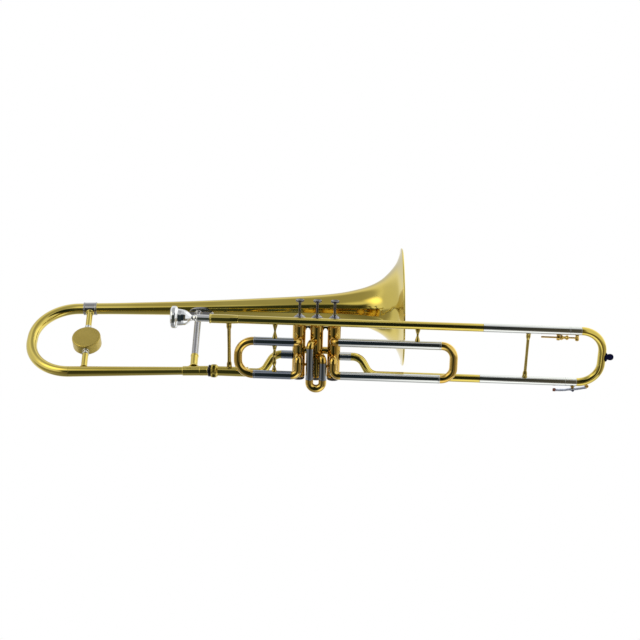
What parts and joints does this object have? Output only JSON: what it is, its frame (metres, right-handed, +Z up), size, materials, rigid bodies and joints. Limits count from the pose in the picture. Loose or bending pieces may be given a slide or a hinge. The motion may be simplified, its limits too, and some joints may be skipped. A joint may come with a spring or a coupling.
{
  "type": "valve trombone",
  "caption": "Valve trombone with upright piston valves, pull-out tuning slides, a turning bell section and a spring-loaded water key.",
  "frame": {"origin": "middle of the second valve casing, where the left hand grips the horn", "axes": "+X towards the bell mouth, along the tubes; +Z up along the valves towards the buttons; +Y to the side where the bell lies"},
  "size_m": [0.9853, 0.2786, 0.2119],
  "materials": {
    "lacquered_brass": "clear-lacquered yellow brass, polished",
    "warm_brass": "clear-lacquered brass, warmer tone, polished",
    "nickel_silver": "polished nickel silver",
    "silver_plate": "bright silver plate",
    "dark_nickel": "polished nickel plate with knurled rims",
    "spring_steel": "spring wire",
    "black_ring": "darkened metal",
    "rubber": "matt dark blue rubber",
    "cork": "pressed cork, red-brown"
  },
  "bodies": {
    "valve_section": {"first_valve_casing": "warm_brass", "first_top_cap": "dark_nickel", "first_bottom_cap": "dark_nickel", "first_piston_spring": "spring_steel", "second_valve_casing": "warm_brass", "second_top_cap": "dark_nickel", "second_bottom_cap": "dark_nickel", "second_piston_spring": "spring_steel", "third_valve_casing": "warm_brass", "third_top_cap": "dark_nickel", "third_bottom_cap": "dark_nickel", "third_piston_spring": "spring_steel", "first_cross_tube": "warm_brass", "second_cross_tube": "warm_brass", "first_slide_upper_sleeve": "nickel_silver", "first_slide_lower_sleeve": "nickel_silver", "third_slide_upper_sleeve": "nickel_silver", "third_slide_lower_sleeve": "nickel_silver", "second_slide_left_sleeve": "nickel_silver", "second_slide_right_sleeve": "nickel_silver", "upper_tuning_sleeve": "nickel_silver", "lower_tuning_sleeve": "nickel_silver", "leadpipe": "lacquered_brass", "right_main_tube": "lacquered_brass", "left_main_tube": "lacquered_brass", "mouthpiece_receiver": "lacquered_brass", "left_brace": "lacquered_brass", "first_slide_upper_brace": "lacquered_brass", "first_slide_lower_brace": "lacquered_brass", "third_slide_brace": "lacquered_brass", "tuning_brace": "lacquered_brass"},
    "bell_section": {"bell": "lacquered_brass", "bell_ferrule": "nickel_silver", "bell_bow": "lacquered_brass", "bell_lower_tube": "lacquered_brass", "counterweight": "lacquered_brass", "counterweight_rod": "lacquered_brass", "hand_brace_tube": "nickel_silver", "hand_brace_socket": "lacquered_brass", "collar_tenon": "black_ring"},
    "collar_nut": {"collar_nut": "lacquered_brass"},
    "first_valve": {"first_piston": "nickel_silver", "first_button_stem": "dark_nickel"},
    "second_valve": {"second_piston": "nickel_silver", "second_button_stem": "dark_nickel"},
    "third_valve": {"third_piston": "nickel_silver", "third_button_stem": "dark_nickel"},
    "first_slide": {"first_slide_bow": "warm_brass"},
    "second_slide": {"second_slide_bow": "warm_brass"},
    "third_slide": {"third_slide_bow": "warm_brass"},
    "tuning_slide": {"tuning_crook": "lacquered_brass", "upper_crook_leg": "nickel_silver", "lower_crook_leg": "nickel_silver", "crook_bumper": "rubber", "stop_rod": "warm_brass", "key_saddle": "warm_brass", "key_spring": "spring_steel"},
    "water_key": {"key_lever": "nickel_silver", "key_pad": "cork"},
    "mouthpiece": {"mouthpiece": "silver_plate"}
  },
  "joints": [
    {"name": "bell_section_turn", "type": "hinge", "parent": "valve_section", "child": "bell_section", "pos_m": [-0.1747, 0, -0.0388], "axis": [1, 0, 0], "range_deg": [-245, 24]},
    {"name": "collar_nut_turn", "type": "hinge", "parent": "valve_section", "child": "collar_nut", "pos_m": [-0.169, 0, -0.0388], "axis": [1, 0, 0], "continuous": true},
    {"name": "first_valve_press", "type": "slide", "parent": "valve_section", "child": "first_valve", "axis": [0, 0, -1], "range_m": [0, 0.017], "stiffness_N_per_m": 200, "springref_m": -0.017, "deforming": ["first_piston_spring"]},
    {"name": "second_valve_press", "type": "slide", "parent": "valve_section", "child": "second_valve", "axis": [0, 0, -1], "range_m": [0, 0.017], "stiffness_N_per_m": 200, "springref_m": -0.017, "deforming": ["second_piston_spring"]},
    {"name": "third_valve_press", "type": "slide", "parent": "valve_section", "child": "third_valve", "axis": [0, 0, -1], "range_m": [0, 0.017], "stiffness_N_per_m": 200, "springref_m": -0.017, "deforming": ["third_piston_spring"]},
    {"name": "first_slide_pull", "type": "slide", "parent": "valve_section", "child": "first_slide", "axis": [-1, 0, 0], "range_m": [0, 0.045]},
    {"name": "second_slide_pull", "type": "slide", "parent": "valve_section", "child": "second_slide", "axis": [0, 0, -1], "range_m": [0, 0.016]},
    {"name": "third_slide_pull", "type": "slide", "parent": "valve_section", "child": "third_slide", "axis": [1, 0, 0], "range_m": [0, 0.08]},
    {"name": "tuning_slide_pull", "type": "slide", "parent": "valve_section", "child": "tuning_slide", "axis": [1, 0, 0], "range_m": [0, 0.07]},
    {"name": "water_key_open", "type": "hinge", "parent": "tuning_slide", "child": "water_key", "pos_m": [0.4265, 0, -0.0489], "axis": [0, 1, 0], "range_deg": [0, 8], "stiffness_Nm_per_rad": 0.08, "springref_deg": -28.65},
    {"name": "mouthpiece_pull", "type": "slide", "parent": "valve_section", "child": "mouthpiece", "axis": [-1, 0, 0], "range_m": [0, 0.018]}
  ]
}
